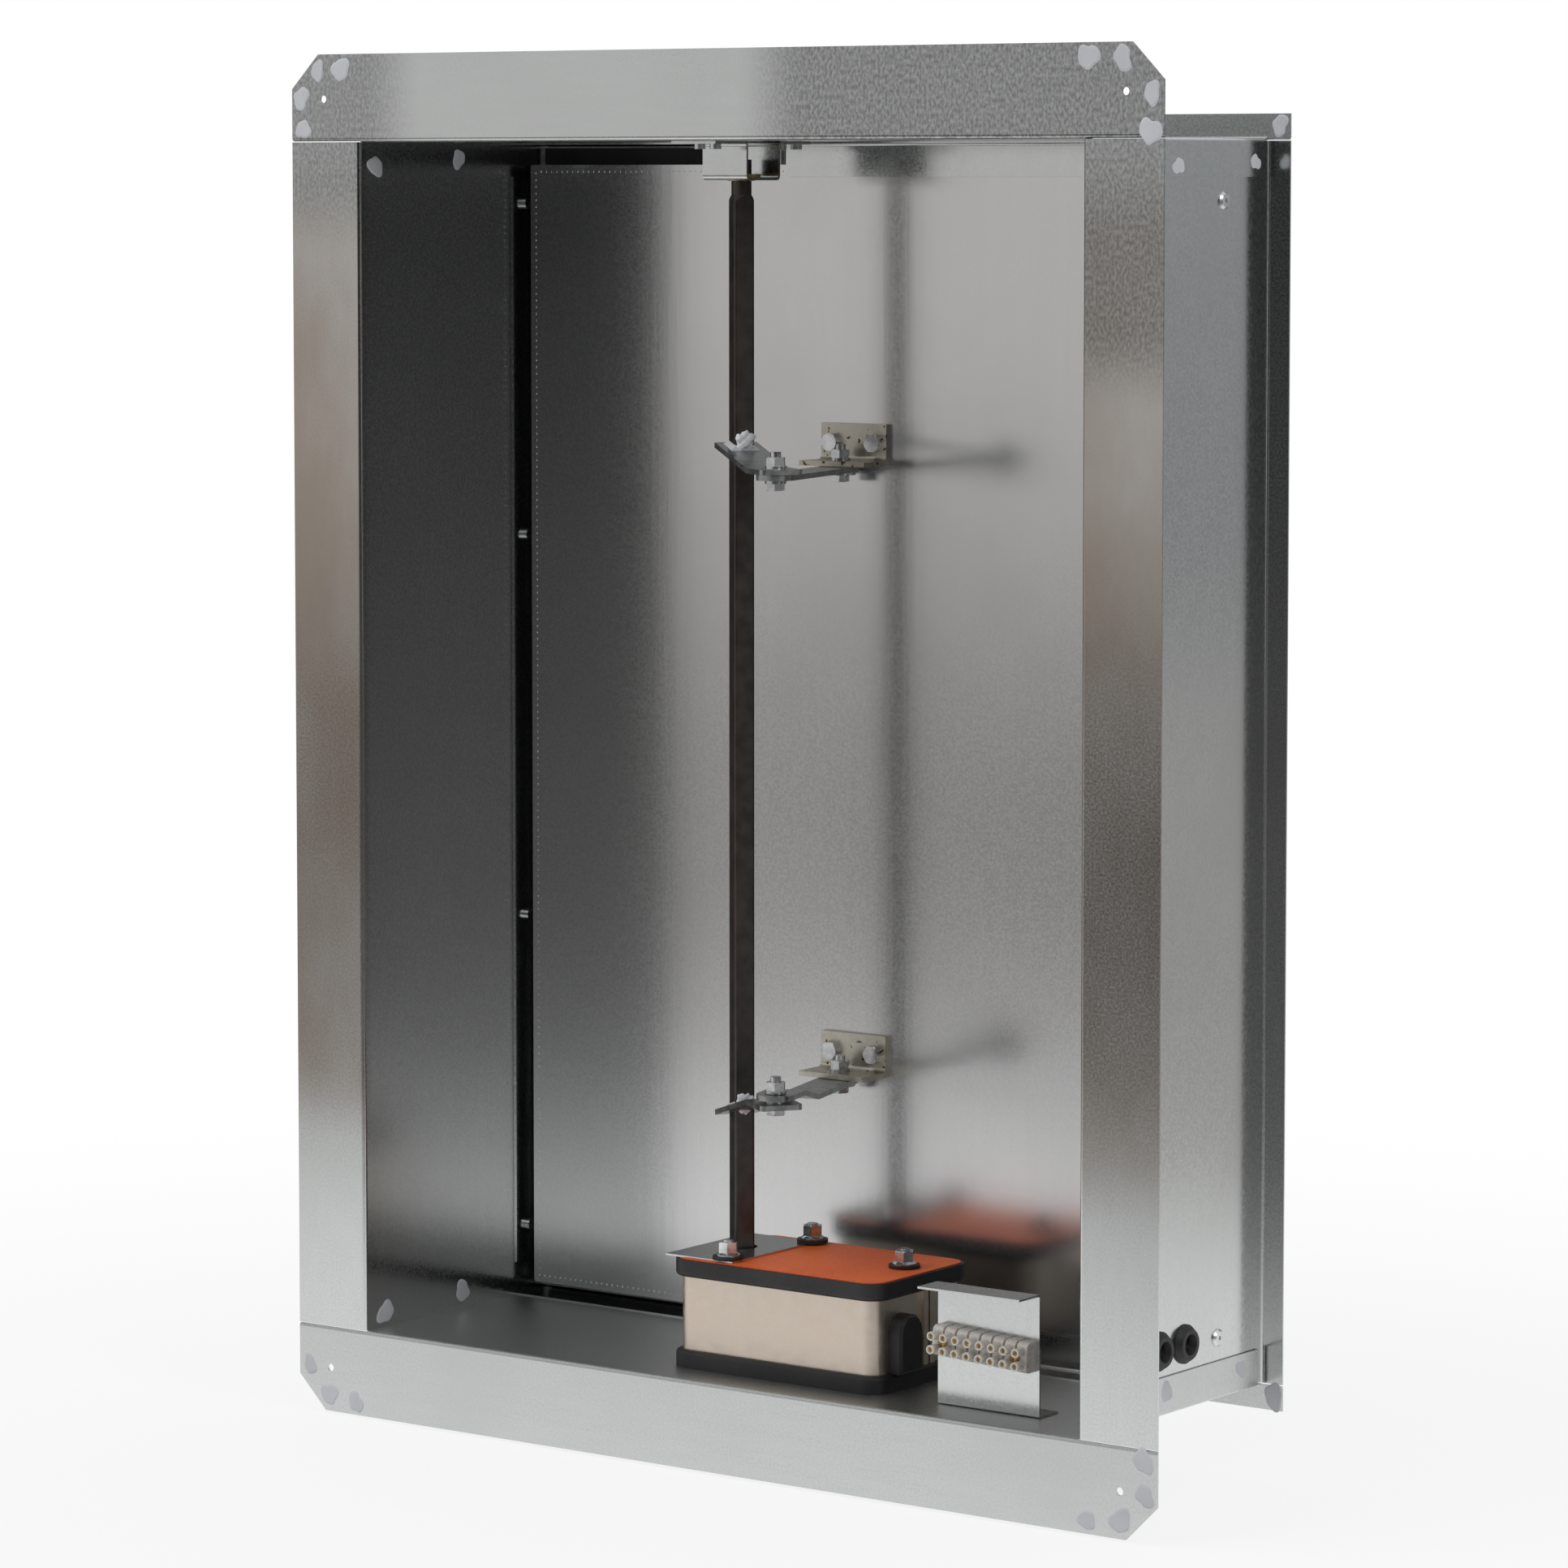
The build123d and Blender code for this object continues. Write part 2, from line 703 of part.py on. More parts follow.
def foot_rivet_places():
    """Centres of the rivets in the bracket's two feet."""
    reach = bracket_depth / 2 + foot_rivet_reach
    middle = shaft_x + foot_rivet_shift
    return [(middle + across * foot_rivet_spacing / 2, shaft_y + along * reach)
            for across in (-1, 1) for along in (-1, 1)]


def foot_rivets():
    """Blind rivets from above the ceiling into the bracket's feet."""
    rivets = []
    for x, y in foot_rivet_places():
        head = revolve(Plane.XZ * make_face(rivet_head_profile()), Axis.Z)
        grip = sheet + bracket_sheet
        shank = rod(0, 0, -grip, 0, rivet_diameter)
        tail = rod(0, 0, -grip - rivet_tail_height, -grip, rivet_tail_diameter)
        rivets.append(Pos(x, y, ceiling_z + sheet) * (head + shank + tail))
    return join(rivets)


def shaft_bush():
    """Bush in the bracket's web, flanged above it."""
    outer = journal_diameter + 2 * (running_clearance + bush_wall)
    bore = journal_diameter + 2 * running_clearance
    web = ceiling_z - bracket_drop
    bush = rod(0, 0, web - float_gap, web + bracket_sheet, outer)
    bush += rod(0, 0, web + bracket_sheet, web + bracket_sheet + bush_flange_height, outer + 6)
    bush -= rod(0, 0, web - 5, web + 10, bore)
    return Pos(shaft_x, shaft_y, 0) * bush


# Actuator

def cap_limits():
    x = (actuator_left, actuator_left + actuator_length)
    y = (actuator_front, actuator_front + actuator_width)
    return x, y


def case_limits(inset=0.0):
    x, y = cap_limits()
    inset += cap_overhang
    return (x[0] + inset, x[1] - inset), (y[0] + inset, y[1] - inset)


def stud_holes():
    """Holes for the three studs through the whole actuator."""
    drills = [rod(x, y, floor_z - 5, plate_top_z + 5, bolt_diameter + 2 * stud_hole_clearance)
              for x, y in stud_places]
    return drills[0] + drills[1] + drills[2]


def actuator_cap(top):
    """Soft-edged cap that closes the case at the top or the bottom."""
    x, y = cap_limits()
    z = (cap_top_z - cap_height, cap_top_z) if top else (floor_z, floor_z + cap_height)
    cap = rounded_slab(x, y, z, cap_corner_radius)
    inner_edges = cap.faces().sort_by(Axis.Z)[0 if top else -1].edges()
    cap = fillet(inner_edges, 2.5)
    cap -= stud_holes()
    if top:
        cap -= rod(shaft_x, shaft_y, z[0] - 1, z[1] + 1, shaft_hole_diameter)
    return cap


def actuator_case():
    """Bright metal sleeve between the caps, with a lock seam on its end."""
    z = (floor_z + cap_height, cap_top_z - cap_height)
    radius = cap_corner_radius - cap_overhang
    sleeve = rounded_slab(*case_limits(), z, radius)
    sleeve -= rounded_slab(*case_limits(case_wall), z, radius - case_wall)
    end = case_limits()[0][1]
    start = actuator_front + cap_overhang + case_seam_offset
    for offset in (0.0, case_seam_width / 2):
        ridge = block((end - case_wall / 2, end + case_seam_height),
                      (start + offset, start + offset + case_seam_width / 2 - 1.5), z)
        sleeve += ridge
    return sleeve


def actuator_body():
    """Gear and motor block that fills the sleeve, bored for the hub."""
    z = (floor_z + cap_height, cap_top_z - cap_height)
    radius = cap_corner_radius - cap_overhang - case_wall
    filling = rounded_slab(*case_limits(case_wall), z, radius)
    filling -= rod(shaft_x, shaft_y, z[0] - 1, z[1] + 1, hub_diameter + 2 * hub_clearance)
    return filling - stud_holes()


def actuator_hub():
    """Clamp hub that turns in the actuator and grips the square bar."""
    z = (floor_z + cap_height + float_gap, cap_top_z - cap_height - float_gap)
    hub = rod(shaft_x, shaft_y, *z, hub_diameter)
    return hub - shaft_square(floor_z, cap_top_z)


def actuator_label():
    """Plain coloured sheet on the top cap."""
    x, y = cap_limits()
    x = (x[0] + label_inset, x[1] - label_inset)
    y = (y[0] + label_inset, y[1] - label_inset)
    sheet_area = rounded_slab(x, y, (cap_top_z, label_top_z), cap_corner_radius - label_inset)
    sheet_area -= rod(shaft_x, shaft_y, cap_top_z - 1, label_top_z + 1, shaft_hole_diameter)
    return sheet_area - stud_holes()


def mount_plate():
    """Steel plate round the shaft that two of the studs hold down."""
    x = (mount_plate_left, mount_plate_left + mount_plate_width)
    front = actuator_front + mount_plate_setback
    y = (front, front + mount_plate_depth)
    plate = block(x, y, (label_top_z, plate_top_z))
    plate -= rod(shaft_x, shaft_y, label_top_z - 1, plate_top_z + 1, shaft_hole_diameter)
    return plate - stud_holes()


def stud_seat(place):
    """Height on which a stud's rubber washer lies."""
    return plate_top_z if place[0] < mount_plate_left + mount_plate_width else label_top_z


def actuator_studs():
    """Threaded rods from the floor through the actuator."""
    studs = []
    for place in stud_places:
        top = stud_seat(place) + rubber_washer_thickness + flange_nut_height + 1
        studs.append(rod(*place, floor_z, top, bolt_diameter))
    return join(studs)


def actuator_washers():
    """Black rubber washers under the flange nuts."""
    ring = washer(rubber_washer_diameter, rubber_washer_thickness)
    return join([Pos(*place, stud_seat(place)) * ring for place in stud_places])


def actuator_nuts():
    """Flange nuts on the studs."""
    skirt_radius = flange_nut_diameter / 2
    profile = Polyline((bolt_diameter / 2, 0), (skirt_radius, 0), (skirt_radius, 0.8),
                       (hex_across_flats / 2, 2.2), (bolt_diameter / 2, 2.2), close=True)
    skirt = revolve(Plane.XZ * make_face(profile), Axis.Z)
    one = skirt + Pos(0, 0, 1.0) * nut(flange_nut_height - 1.0)
    return join([Pos(*place, stud_seat(place) + rubber_washer_thickness) * one
                 for place in stud_places])


def cable_entry():
    """Round-topped cable clamp on the end of the actuator."""
    end = case_limits()[0][1]
    low = floor_z + cap_height
    centre_y = actuator_front + entry_front + entry_width / 2
    straight = entry_height - entry_width / 2
    outline = Rectangle(entry_width, straight, align=(Align.CENTER, Align.MIN))
    outline += Pos(0, straight) * Circle(entry_width / 2)
    body = extrude(Plane.YZ.offset(end) * (Pos(centre_y, low) * outline), entry_depth)
    crown = body.faces().sort_by(Axis.X)[-1].edges()
    return chamfer(crown, 1.5)


# Terminal bracket and strip

def terminal_bracket():
    """Z-shaped plate: a foot behind, an upright and a lip to the front."""
    upright = terminal_front + terminal_sheet / 2
    top = floor_z + terminal_height - terminal_sheet / 2
    base = floor_z + terminal_sheet / 2
    view = ((terminal_front - terminal_lip, top), (upright, top), (upright, base),
            (upright + terminal_foot, base))
    line = FilletPolyline(*view, radius=bend_radius)
    section = trace(line, line_width=terminal_sheet)
    return extrude(Plane.YZ.offset(terminal_left) * section, terminal_width)


def strip_frame():
    """The strip's own frame: X along it, Y up it and Z out of the bracket."""
    middle = terminal_left + terminal_width / 2
    place = Pos(middle, terminal_front, floor_z + strip_centre_height)
    return place * Rot(0, strip_tilt, 0) * Rot(90, 0, 0)


def pole_centres():
    start = -strip_pitch * (strip_poles - 1) / 2
    return [start + index * strip_pitch for index in range(strip_poles)]


def terminal_strip():
    """Moulded strip: a rail, one rounded cell for each pole and two barrels on each cell."""
    length = strip_pitch * strip_poles - (strip_pitch - pole_width)
    strip = extrude(Rectangle(length, strip_height * 0.6), strip_base)
    cell = extrude(Rectangle(pole_width, strip_height), strip_base + pole_depth)
    cell = fillet(cell.edges().filter_by(Axis.X).sort_by(Axis.Z)[-2:], 3)
    top = strip_base + pole_depth
    for x in pole_centres():
        strip += Pos(x, 0, 0) * cell
        for side in (-1, 1):
            barrel = Cylinder(barrel_diameter / 2, barrel_length + 2)
            strip += Pos(x, side * barrel_spacing / 2, top + barrel_length / 2 - 1) * barrel
    for x in pole_centres():
        for side in (-1, 1):
            bore = Cylinder(barrel_bore / 2, barrel_length * 2)
            strip -= Pos(x, side * barrel_spacing / 2, top + barrel_length) * bore
    for x in fixing_screw_places():
        strip -= Pos(x, 0, 0) * Cylinder(1.6, 60)
        strip -= Pos(x, 0, top + 5) * Cylinder(strip_screw_diameter / 2 + 0.2, 10)
    return strip_frame() * strip


def fixing_screw_places():
    """Between the first two and the last two poles."""
    outer = pole_centres()[0] + strip_pitch / 2
    return (outer, -outer)


def terminal_screws():
    """Slotted clamping screws inside the barrels."""
    screws = []
    cell_top = strip_base + pole_depth
    head_height = 1.2
    head_base = cell_top + barrel_length - clamp_screw_depth
    for x in pole_centres():
        for side in (-1, 1):
            screw = Pos(0, 0, head_base + head_height / 2) * Cylinder(barrel_bore / 2, head_height)
            screw -= Pos(0, 0, head_base + head_height) * Box(barrel_bore * 2, 0.7, 1.2)
            screw += rod(0, 0, cell_top, head_base, clamp_screw_shank)
            screws.append(Pos(x, side * barrel_spacing / 2, 0) * screw)
    return strip_frame() * join(screws)


def fixing_screws():
    """Cross-head screws that hold the strip on its bracket."""
    screws = []
    top = strip_base + pole_depth
    for x in fixing_screw_places():
        head = Pos(0, 0, top + 1) * Cylinder(strip_screw_diameter / 2, 2)
        head = chamfer(head.edges().sort_by(Axis.Z)[-1], 0.8)
        head -= Pos(0, 0, top + 2) * (Box(4, 0.9, 1.4) + Box(0.9, 4, 1.4))
        shank = rod(0, 0, 0, top + 0.5, 3.0)
        screws.append(Pos(x, 0, 0) * (head + shank))
    return strip_frame() * join(screws)


def grommets():
    """Rubber cable bushes in the right wall, open for the supply cable."""
    profile = Polyline((grommet_bore / 2, -grommet_lip), (grommet_diameter / 2 - 1, -grommet_lip),
                       (grommet_diameter / 2, -1.0), (grommet_diameter / 2, 0),
                       (grommet_hole_diameter / 2, 0), (grommet_hole_diameter / 2, sheet),
                       (grommet_diameter / 2, sheet), (grommet_diameter / 2, sheet + 1),
                       (grommet_diameter / 2 - 2.5, sheet + grommet_lip),
                       (grommet_bore / 2 + 1.5, sheet + grommet_lip),
                       (grommet_bore / 2, sheet + 1), close=True)
    ring = Rot(0, 90, 0) * revolve(Plane.XZ * make_face(profile), Axis.Z)
    return join([Pos(half_width, y, floor_z + grommet_height) * ring for y in grommet_depths])


def build():
    """Make every sub-part and write it."""
    os.makedirs("parts", exist_ok=True)
    panel = cross_panel()
    top = panel - bush_hole(1)
    for x, y in foot_rivet_places():
        top -= rod(x, y, ceiling_z - 3, ceiling_z + 3, rivet_diameter)
    save("top_panel", top)
    save("bottom_panel", mirror(panel, Plane.XY) - bush_hole(-1))
    save("left_panel", side_panel(-1))
    save("right_panel", side_panel(1))
    save("rear_stop_side", side_stop(-1))
    save("rear_stop_top", cross_stop(-1, 1))
    save("rear_stop_bottom", cross_stop(-1, -1))
    save("front_stop_side", side_stop(1))
    save("front_stop_top", cross_stop(1, 1))
    save("front_stop_bottom", cross_stop(1, -1))
    save("rear_stop_seal", seal(-1))
    save("front_stop_seal", seal(1))
    save("stop_rivets", stop_rivets())
    save("blade_front_skin", blade_front_skin())
    save("blade_rear_skin", blade_rear_skin())
    save("blade_core", blade_core())
    for name, end in (("upper", 1), ("lower", -1)):
        save(name + "_stub_axle", stub_axle(end))
        save(name + "_axle_bush", axle_bush(end))
    save("thrust_collar", thrust_collar())
    save("drive_shaft", drive_shaft())
    save("shaft_bracket", shaft_bracket())
    save("shaft_bush", shaft_bush())
    save("bracket_rivets", foot_rivets())
    save("bracket_bolts", bracket_bolts())
    save("bracket_nuts", bracket_nuts())
    lever_parts = []
    drive_parts = []
    for name, upper in (("upper", True), ("lower", False)):
        save(name + "_lever", lever(upper))
        save(name + "_lever_weld", lever_weld(upper))
        save(name + "_link", link(upper))
        save(name + "_blade_bracket", blade_bracket(upper))
        lever_parts.append(lever_joint(upper))
        drive_parts.append(bracket_joint(upper))
    for name, parts in (("lever_pivot", lever_parts), ("drive_pivot", drive_parts)):
        save(name + "_bolts", join([bolt for bolt, _, _ in parts]))
        save(name + "_nuts", join([top_nut for _, top_nut, _ in parts]))
        save(name + "_washers", join([ring for _, _, rings in parts for ring in rings]))
    save("actuator_top_cap", actuator_cap(True))
    save("actuator_bottom_cap", actuator_cap(False))
    save("actuator_case", actuator_case())
    save("actuator_body", actuator_body())
    save("actuator_hub", actuator_hub())
    save("actuator_label", actuator_label())
    save("actuator_mount_plate", mount_plate())
    save("actuator_studs", actuator_studs())
    save("actuator_washers", actuator_washers())
    save("actuator_nuts", actuator_nuts())
    save("actuator_cable_entry", cable_entry())
    save("terminal_bracket", terminal_bracket())
    save("terminal_strip", terminal_strip())
    save("terminal_screws", terminal_screws())
    save("terminal_fixing_screws", fixing_screws())
    save("cable_grommets", grommets())


build()
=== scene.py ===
import json
import math
import random

import bmesh
import bpy
from mathutils import Matrix, Vector

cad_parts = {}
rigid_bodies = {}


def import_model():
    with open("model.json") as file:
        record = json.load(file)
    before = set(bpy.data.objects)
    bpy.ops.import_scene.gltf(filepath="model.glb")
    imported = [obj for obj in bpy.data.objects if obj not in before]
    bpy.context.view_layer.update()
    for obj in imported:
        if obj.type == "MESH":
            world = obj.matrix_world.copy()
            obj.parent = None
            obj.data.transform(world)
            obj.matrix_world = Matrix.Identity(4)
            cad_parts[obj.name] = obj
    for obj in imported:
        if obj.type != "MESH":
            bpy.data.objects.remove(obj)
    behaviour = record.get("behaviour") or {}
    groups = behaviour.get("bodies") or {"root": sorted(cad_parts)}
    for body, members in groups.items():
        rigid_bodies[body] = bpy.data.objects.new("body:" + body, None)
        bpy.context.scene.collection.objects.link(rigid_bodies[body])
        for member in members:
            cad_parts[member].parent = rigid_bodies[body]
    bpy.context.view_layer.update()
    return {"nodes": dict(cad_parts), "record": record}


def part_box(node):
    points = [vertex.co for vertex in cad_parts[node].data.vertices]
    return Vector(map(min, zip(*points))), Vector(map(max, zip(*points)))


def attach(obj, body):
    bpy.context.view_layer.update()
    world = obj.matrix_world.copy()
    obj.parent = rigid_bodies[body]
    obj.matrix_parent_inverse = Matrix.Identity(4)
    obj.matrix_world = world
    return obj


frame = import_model()
nodes = frame["nodes"]

# Sizes in metres. The origin is the centre of the passage in the front flange's face.
sheet = 0.001
wall_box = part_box("left_panel")
half_width = -wall_box[1][0]
lap_face = half_width + 2 * sheet
rear_flange_front = wall_box[1][1] - sheet
casing_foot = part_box("bottom_panel")[0][2]

# Dabs of zinc paint on the spot welds, chosen from the photograph
front_dabs = (
    (-0.2824, 0.3905), (-0.2649, 0.3912), (-0.2950, 0.3745), (-0.2935, 0.3565),
    (0.2544, 0.3925), (0.2760, 0.3915), (0.2945, 0.3730), (0.2935, 0.3530),
    (-0.2790, -0.3900), (-0.2587, -0.3925), (-0.2940, -0.3740),
    (0.2930, -0.3558), (0.2940, -0.3745), (0.2570, -0.3925), (0.2785, -0.3900))
left_wall_dabs = ((0.0146, 0.3349), (0.0909, 0.3393), (0.0183, -0.3406), (0.0901, -0.3388))
right_lap_dabs = ((0.0911, 0.3348), (0.1703, 0.3371), (0.0852, -0.3372), (0.1625, -0.3371))
rear_flange_dabs = ((0.2593, 0.3575), (0.2604, -0.3561))
dab_radius = 0.0058
dab_height = 0.0004
dab_outline_points = 26
dab_waves = ((2, 0.14), (3, 0.10), (5, 0.06))
dab_stretch = 1.15
dab_top_share = 0.82
dab_smallest = 0.85
dab_size_spread = 0.3

# Row of small marks along the blade's edges
mark_pitch = 0.004
mark_radius = 0.0006
mark_tip_share = 0.4
mark_height = 0.00025
mark_inset = 0.004

# Paint blobs over the lever welds: centre and random seed
weld_spots = {
    "upper": ((-0.0225, 0.0680, 0.1785), 122),
    "lower": ((-0.0225, 0.0680, -0.2010), 113),
}
blob_radius = 0.0058
blob_swell = 0.24
blob_ripple = 0.12
blob_width_share = 0.95
blob_depth_share = 0.45
weld_turn = 54.0

# Surface grain: scales of the noises per metre, and the range of a noise that shows
spangle_scale = 720.0
streak_scale = 160.0
cloud_scale = 9.0
plating_scale = 130.0
speck_scale = 310.0
mould_cloud_scale = 24.0
shaft_rust_scale = 60.0
noise_range = (0.30, 0.72)
metal_bump_depth = 0.0002
mould_bump_depth = 0.00015
cloud_shade = 0.86
speck_start = 0.66
speck_edge = 0.06

# Painted reflections on the front bars: mottled brown and dark patches
bar_depth = (-0.02, 0.008)
reflection_fade = 0.05
reflection_thinnest = 0.45
wide_reflection_scale = 9.0
mottle_scale = 620.0

# Directions in the studio that reflections see
front_direction = Vector((-0.58, -0.81, 0.0)).normalized()
dim_direction = Vector((0.62, -0.78, 0.05)).normalized()
backdrop_direction = Vector((-0.59, 0.80, 0.0)).normalized()
dim_floor_direction = (0.62, -0.78, 0.0)

# Studio floor
floor_gap = 0.002
floor_reach = 6.0
floor_segments = 64

# Lamps, sizes in metres and power in watts
lamp_aim = (0, 0.1, 0)
key_place = (-1.6, -2.2, 2.4)
key_size = (3.2, 3.2)
key_power = 50.0
fill_place = (2.6, -0.6, 1.6)
fill_size = (1.2, 1.8)
fill_power = 16.0

# Camera fitted to the casing's edges in the photograph, angles in degrees
camera_place = (1.9683, -2.6084, 0.3292)
camera_turn = 36.264
camera_drop = 4.392
camera_lens = 134.76
camera_sensor = 36.0
camera_shift = -0.1


def grey(value):
    """Neutral colour."""
    return (value, value, value)


def shader(material):
    """Node tree, Principled shader and links of a material."""
    material.use_nodes = True
    tree = material.node_tree
    return tree, tree.nodes["Principled BSDF"], tree.links


def new_node(tree, kind, **settings):
    """New node with its settings."""
    node = tree.nodes.new(kind)
    for key, value in settings.items():
        setattr(node, key, value)
    return node


def noise(tree, scale, detail, stretch=(1.0, 1.0, 1.0)):
    """Noise value by place on the object, with a grain stretched along the axes."""
    place = new_node(tree, "ShaderNodeTexCoord")
    mapping = new_node(tree, "ShaderNodeMapping")
    mapping.inputs["Scale"].default_value = stretch
    tree.links.new(place.outputs["Object"], mapping.inputs["Vector"])
    texture = new_node(tree, "ShaderNodeTexNoise")
    texture.inputs["Scale"].default_value = scale
    texture.inputs["Detail"].default_value = detail
    tree.links.new(mapping.outputs["Vector"], texture.inputs["Vector"])
    return texture.outputs["Fac"]


def spread(tree, value, low, high, to_low=0.0, to_high=1.0):
    """Value mapped from one range to another and held inside it."""
    ranged = new_node(tree, "ShaderNodeMapRange", interpolation_type="SMOOTHSTEP")
    for name, number in (("From Min", low), ("From Max", high),
                         ("To Min", to_low), ("To Max", to_high)):
        ranged.inputs[name].default_value = number
    tree.links.new(value, ranged.inputs["Value"])
    return ranged.outputs["Result"]


def ramp(tree, value, stops):
    """Colour that changes smoothly with a value through the given stops."""
    low, high = stops[0][0], stops[-1][0]
    gradient = new_node(tree, "ShaderNodeValToRGB")
    elements = gradient.color_ramp.elements
    while len(elements) < len(stops):
        elements.new(0.5)
    for element, (position, colour) in zip(elements, stops):
        element.position = (position - low) / (high - low)
        element.color = (*colour, 1.0)
    ranged = new_node(tree, "ShaderNodeMapRange")
    ranged.inputs["From Min"].default_value = low
    ranged.inputs["From Max"].default_value = high
    tree.links.new(value, ranged.inputs["Value"])
    tree.links.new(ranged.outputs["Result"], gradient.inputs["Fac"])
    return gradient.outputs["Color"]


def blended(tree, factor, first, second, mode="MIX"):
    """Colour between two colours or sockets."""
    mix = new_node(tree, "ShaderNodeMix", data_type="RGBA", blend_type=mode)
    tree.links.new(factor, mix.inputs["Factor"])
    for socket, colour in ((mix.inputs["A"], first), (mix.inputs["B"], second)):
        if isinstance(colour, tuple):
            socket.default_value = (*colour, 1.0)
        else:
            tree.links.new(colour, socket)
    return mix.outputs["Result"]


def combined(tree, operation, first, second):
    """Result of one operation on two values."""
    node = new_node(tree, "ShaderNodeMath", operation=operation)
    tree.links.new(first, node.inputs[0])
    tree.links.new(second, node.inputs[1])
    return node.outputs["Value"]


def along(tree, vector, direction):
    """Length of a vector along a direction."""
    dot = new_node(tree, "ShaderNodeVectorMath", operation="DOT_PRODUCT")
    tree.links.new(vector, dot.inputs[0])
    dot.inputs[1].default_value = direction
    return dot.outputs["Value"]


def mixed(tree, factor, first, second):
    """Shader between two shaders."""
    mix = new_node(tree, "ShaderNodeMixShader")
    for index, socket in enumerate((factor, first, second)):
        tree.links.new(socket, mix.inputs[index])
    return mix.outputs["Shader"]


def bumped(tree, principled, value, strength, distance):
    """Raise a surface by a value."""
    bump = new_node(tree, "ShaderNodeBump")
    bump.inputs["Strength"].default_value = strength
    bump.inputs["Distance"].default_value = distance
    tree.links.new(value, bump.inputs["Height"])
    tree.links.new(bump.outputs["Normal"], principled.inputs["Normal"])


def galvanised(name, light, dark, rough, grain=(1.0, 1.0, 0.25), ribbing=0.10):
    """Zinc-coated sheet: fine spangle, long rolling streaks and cloudy patches."""
    material = bpy.data.materials.new(name)
    tree, principled, links = shader(material)
    spangle = noise(tree, spangle_scale, detail=2.0)
    streak = noise(tree, streak_scale, detail=4.0, stretch=grain)
    cloud = noise(tree, cloud_scale, detail=3.0)
    fine = blended(tree, spread(tree, spangle, *noise_range), dark, light)
    rolled = blended(tree, spread(tree, streak, 0.30, 0.75, to_high=0.35), fine, light)
    shade = tuple(cloud_shade * channel for channel in light)
    colour = blended(tree, spread(tree, cloud, 0.42, 0.70, to_high=0.45), rolled, shade)
    links.new(colour, principled.inputs["Base Color"])
    links.new(spread(tree, spangle, *noise_range, *rough), principled.inputs["Roughness"])
    principled.inputs["Metallic"].default_value = 1.0
    bumped(tree, principled, streak, ribbing, metal_bump_depth)
    return material


def painted_reflection(material, across, upward, tint, amount, scale):
    """Multiply mottled patches of painted reflection into the front bars of a sheet, fading at the sides
    of a box.
    """
    tree, principled, links = shader(material)
    colour = principled.inputs["Base Color"].links[0].from_socket
    place = new_node(tree, "ShaderNodeNewGeometry")
    split = new_node(tree, "ShaderNodeSeparateXYZ")
    links.new(place.outputs["Position"], split.inputs["Vector"])
    mottle = noise(tree, scale, detail=5.0, stretch=(1.0, 1.0, 0.6))
    patches = spread(tree, mottle, 0.30, 0.70, amount * reflection_thinnest, amount)
    for axis, (start, end) in zip("XYZ", (across, bar_depth, upward)):
        fade = min(reflection_fade, (end - start) / 3)
        rising = spread(tree, split.outputs[axis], start, start + fade)
        falling = spread(tree, split.outputs[axis], end - fade, end, 1.0, 0.0)
        for inside in (rising, falling):
            patches = combined(tree, "MULTIPLY", patches, inside)
    # Painted reflection multiplied into the sheet's colour
    reflected_colour = blended(tree, patches, colour, tint, "MULTIPLY")
    links.new(reflected_colour, principled.inputs["Base Color"])


def plated(name, light, dark, rough, speck=None, bump=0.12):
    """Plated or bare steel with a mottled tone and, if asked for, rust specks."""
    material = bpy.data.materials.new(name)
    tree, principled, links = shader(material)
    tone = noise(tree, plating_scale, detail=4.0)
    colour = blended(tree, spread(tree, tone, *noise_range), dark, light)
    if speck:
        spots = noise(tree, speck_scale, detail=1.0)
        colour = blended(tree, spread(tree, spots, speck_start, speck_start + speck_edge), colour, speck)
    links.new(colour, principled.inputs["Base Color"])
    links.new(spread(tree, tone, 0.3, 0.7, rough, rough + 0.14), principled.inputs["Roughness"])
    principled.inputs["Metallic"].default_value = 1.0
    bumped(tree, principled, tone, bump, metal_bump_depth)
    return material


def moulded(name, light, dark, rough, scale=900.0, bump=0.25):
    """Plastic, rubber, film, paint or board with a fine grain."""
    material = bpy.data.materials.new(name)
    tree, principled, links = shader(material)
    grain = noise(tree, scale, detail=2.0)
    cloud = noise(tree, mould_cloud_scale, detail=3.0)
    colour = blended(tree, spread(tree, cloud, 0.35, 0.70), dark, light)
    links.new(colour, principled.inputs["Base Color"])
    links.new(spread(tree, grain, 0.3, 0.7, rough, rough + 0.12), principled.inputs["Roughness"])
    bumped(tree, principled, grain, bump, mould_bump_depth)
    return material


def shaft_steel():
    """Dark bare bar with brown rust creeping along it."""
    material = plated("dark_bar", (0.115, 0.105, 0.10), (0.085, 0.078, 0.074), 0.36)
    tree, principled, links = shader(material)
    colour = principled.inputs["Base Color"].links[0].from_socket
    rust = noise(tree, shaft_rust_scale, detail=4.0, stretch=(1.0, 1.0, 0.05))
    rusty = blended(tree, spread(tree, rust, 0.45, 0.75, to_high=0.55), colour, (0.13, 0.075, 0.05))
    links.new(rusty, principled.inputs["Base Color"])
    return material


def milky_plastic():
    """Translucent moulding of the terminal strip."""
    material = moulded("milky_plastic", (0.86, 0.80, 0.74), (0.78, 0.72, 0.67), 0.22, 300.0, 0.1)
    principled = shader(material)[1]
    principled.inputs["Subsurface Weight"].default_value = 0.35
    principled.inputs["Subsurface Radius"].default_value = (0.004, 0.003, 0.0025)
    principled.inputs["Subsurface Scale"].default_value = 1.0
    principled.inputs["Transmission Weight"].default_value = 0.25
    return material


def give(node, material):
    """Give every mesh of a CAD node one surface."""
    for holder in [nodes[node]] + list(nodes[node].children_recursive):
        if holder.type == "MESH":
            for slot in holder.material_slots:
                slot.material = material
            if not holder.material_slots:
                holder.data.materials.append(material)


